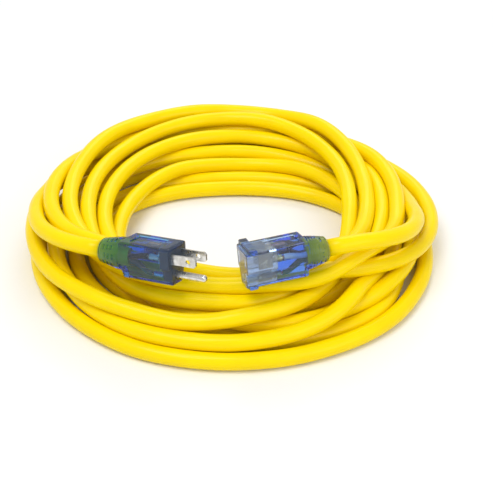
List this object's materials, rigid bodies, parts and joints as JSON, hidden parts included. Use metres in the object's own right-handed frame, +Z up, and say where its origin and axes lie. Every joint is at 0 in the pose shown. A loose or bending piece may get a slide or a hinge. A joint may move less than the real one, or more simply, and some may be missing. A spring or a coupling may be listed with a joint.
{
  "type": "extension cord",
  "caption": "Round heavy-duty extension cord wound in a loose flat coil, with a clear moulded three-pin plug and a clear moulded socket connector lying on the coil.",
  "frame": {"origin": "centre of the footprint of the whole coiled cord, on the surface that it lies on", "axes": "+Z up, the thin direction of the coil; +X along the coil's longest extent, to the right as seen from the side where the plug and the connector lie; +Y from them to the far side"},
  "size_m": [0.295, 0.291, 0.074],
  "materials": {
    "cord_jacket": "glossy smooth extruded PVC",
    "plug_body": "clear smoky blue moulded PVC",
    "connector_body": "clear pale blue moulded PVC",
    "insert": "moulded",
    "carrier": "clear moulded",
    "blades": "nickel plated, bright",
    "contacts": "stamped",
    "insulation_black": "smooth",
    "insulation_white": "smooth",
    "insulation_green": "smooth",
    "copper": "bare stranded copper",
    "lamp": "clear glass tube",
    "resistor": "lacquered",
    "lead_wire": "tinned"
  },
  "bodies": {
    "root": {"cord_coil": "cord_jacket", "plug_cord_tail": "cord_jacket", "connector_cord_tail": "cord_jacket", "plug_jacket_end": "cord_jacket", "connector_jacket_end": "cord_jacket", "plug_overmould": "plug_body", "connector_overmould": "connector_body", "plug_insert": "insert", "contact_carrier": "carrier", "line_blade": "blades", "neutral_blade": "blades", "ground_pin": "blades", "line_contact": "contacts", "neutral_contact": "contacts", "ground_contact": "contacts", "plug_line_conductor": "insulation_black", "plug_neutral_conductor": "insulation_white", "plug_ground_conductor": "insulation_green", "plug_line_strands": "copper", "plug_neutral_strands": "copper", "plug_ground_strands": "copper", "plug_lamp": "lamp", "plug_resistor": "resistor", "plug_lamp_leads": "lead_wire", "connector_line_conductor": "insulation_black", "connector_neutral_conductor": "insulation_white", "connector_ground_conductor": "insulation_green", "connector_line_strands": "copper", "connector_neutral_strands": "copper", "connector_ground_strands": "copper", "connector_lamp": "lamp", "connector_resistor": "resistor", "connector_lamp_leads": "lead_wire"}
  },
  "joints": []
}
